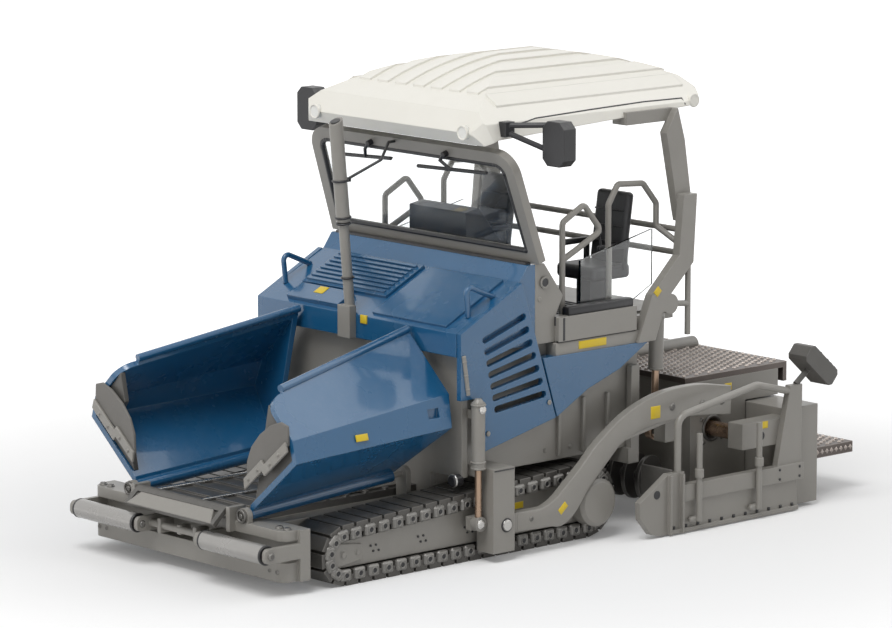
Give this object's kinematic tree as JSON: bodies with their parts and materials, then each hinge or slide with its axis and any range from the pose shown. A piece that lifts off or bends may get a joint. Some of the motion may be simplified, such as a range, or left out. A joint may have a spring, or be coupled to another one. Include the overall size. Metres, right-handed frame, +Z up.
{
  "type": "scale model of an asphalt paver, about 1:50",
  "caption": "Die-cast scale model of a tracked asphalt paver with folding hopper sides, roof, tow arms and an extending screed.",
  "frame": {"origin": "on the ground under the middle of the model's outer box", "axes": "+X towards the front push rollers, +Y to the machine's left, +Z up"},
  "size_m": [0.13, 0.0684, 0.078],
  "materials": {
    "paint_blue": "gloss",
    "paint_grey": "satin",
    "roof_cream": "satin",
    "black_plastic": "satin",
    "clear_glass": "clear",
    "track_metal": "satin",
    "bright_tube": "polished",
    "checker_plate": "satin",
    "bare_metal": "satin",
    "lamp_lens": "gloss",
    "grey_rubber": "matt"
  },
  "bodies": {
    "tractor": {"chassis": "paint_grey", "body_core": "paint_grey", "bulkhead": "paint_grey", "hopper_floor": "bare_metal", "front_beam": "paint_grey", "hood": "paint_blue", "hood_panels": "paint_blue", "deck": "paint_grey", "windscreen_frame": "paint_grey", "windscreen_glass": "clear_glass", "dash_console": "black_plastic", "roof": "roof_cream", "exhaust": "paint_grey", "auger_frame": "paint_grey", "roof_lamps": "lamp_lens", "hood_handles": "paint_blue", "track_wheels": "bare_metal", "track_frames": "paint_grey", "wing_hinges": "paint_grey", "side_panels": "paint_blue", "skirts": "paint_blue", "side_consoles": "paint_grey", "seats": "black_plastic", "grab_rails": "paint_grey", "rear_rails": "paint_grey", "side_glass": "clear_glass", "roof_posts": "paint_grey", "mirrors": "black_plastic", "tow_posts": "paint_grey", "levelling_cylinders": "paint_grey", "track_left": "track_metal", "track_right": "track_metal"},
    "screed": {"screed_base": "paint_grey", "walkway": "checker_plate", "tow_arms": "paint_grey"},
    "apron": {"apron": "paint_grey"},
    "wing_left": {"hopper_wing_left": "paint_blue", "wing_baffle_left": "grey_rubber"},
    "push_roller_left": {"push_roller_left": "paint_grey"},
    "auger_left": {"auger_left": "bare_metal"},
    "lift_barrel_left": {"lift_barrel_left": "paint_grey"},
    "lift_rod_left": {"lift_rod_left": "bright_tube"},
    "extension_left": {"screed_extension_left": "paint_grey", "extension_tube_left": "bright_tube", "end_plate_left": "paint_grey", "extension_rail_left": "paint_grey", "screed_panel_left": "paint_grey", "step_left": "checker_plate"},
    "wing_right": {"hopper_wing_right": "paint_blue", "wing_baffle_right": "grey_rubber"},
    "push_roller_right": {"push_roller_right": "paint_grey"},
    "auger_right": {"auger_right": "bare_metal"},
    "lift_barrel_right": {"lift_barrel_right": "paint_grey"},
    "lift_rod_right": {"lift_rod_right": "bright_tube"},
    "extension_right": {"screed_extension_right": "paint_grey", "extension_tube_right": "bright_tube", "end_plate_right": "paint_grey", "extension_rail_right": "paint_grey", "screed_panel_right": "paint_grey", "step_right": "checker_plate"}
  },
  "joints": [
    {"name": "screed_lift", "type": "hinge", "parent": "tractor", "child": "screed", "pos_m": [0.0175, 0, 0.006], "axis": [0, 1, 0], "range_deg": [0, 11]},
    {"name": "apron_fold", "type": "hinge", "parent": "tractor", "child": "apron", "pos_m": [0.0609, 0, 0.0119], "axis": [0, -1, 0], "range_deg": [0, 120]},
    {"name": "wing_fold_left", "type": "hinge", "parent": "tractor", "child": "wing_left", "pos_m": [0.0604, 0.0142, 0.0114], "axis": [-0.9977, 0, 0.0675], "range_deg": [-20, 38]},
    {"name": "push_roller_spin_left", "type": "hinge", "parent": "tractor", "child": "push_roller_left", "pos_m": [0.06345, 0.016, 0.0071], "axis": [0, 1, 0], "continuous": true},
    {"name": "auger_spin_left", "type": "hinge", "parent": "tractor", "child": "auger_left", "pos_m": [-0.024, 0.012, 0.0064], "axis": [0, 1, 0], "continuous": true},
    {"name": "extension_slide_left", "type": "slide", "parent": "screed", "child": "extension_left", "axis": [0, 1, 0], "range_m": [0, 0.008]},
    {"name": "lift_barrel_swing_left", "type": "hinge", "parent": "tractor", "child": "lift_barrel_left", "pos_m": [-0.0221, 0.0224, 0.0371], "axis": [0, 1, 0], "range_deg": [-10.74, 0]},
    {"name": "lift_rod_slide_left", "type": "slide", "parent": "lift_barrel_left", "child": "lift_rod_left", "axis": [0.0278, 0, -0.9996], "range_m": [-0.00694, 0]},
    {"name": "wing_fold_right", "type": "hinge", "parent": "tractor", "child": "wing_right", "pos_m": [0.0604, -0.0142, 0.0114], "axis": [0.9977, 0, -0.0675], "range_deg": [-20, 38]},
    {"name": "push_roller_spin_right", "type": "hinge", "parent": "tractor", "child": "push_roller_right", "pos_m": [0.06345, -0.016, 0.0071], "axis": [0, 1, 0], "continuous": true},
    {"name": "auger_spin_right", "type": "hinge", "parent": "tractor", "child": "auger_right", "pos_m": [-0.024, -0.012, 0.0064], "axis": [0, 1, 0], "continuous": true},
    {"name": "extension_slide_right", "type": "slide", "parent": "screed", "child": "extension_right", "axis": [0, -1, 0], "range_m": [0, 0.008]},
    {"name": "lift_barrel_swing_right", "type": "hinge", "parent": "tractor", "child": "lift_barrel_right", "pos_m": [-0.0221, -0.0224, 0.0371], "axis": [0, 1, 0], "range_deg": [-10.74, 0]},
    {"name": "lift_rod_slide_right", "type": "slide", "parent": "lift_barrel_right", "child": "lift_rod_right", "axis": [0.0278, 0, -0.9996], "range_m": [-0.00694, 0]}
  ],
  "couplings": [
    {"joint": "lift_barrel_swing_left", "follows": "screed_lift", "ratio": -0.97496},
    {"joint": "lift_rod_slide_left", "follows": "screed_lift", "m_per_rad": -0.036137},
    {"joint": "lift_barrel_swing_right", "follows": "screed_lift", "ratio": -0.97496},
    {"joint": "lift_rod_slide_right", "follows": "screed_lift", "m_per_rad": -0.036137}
  ]
}
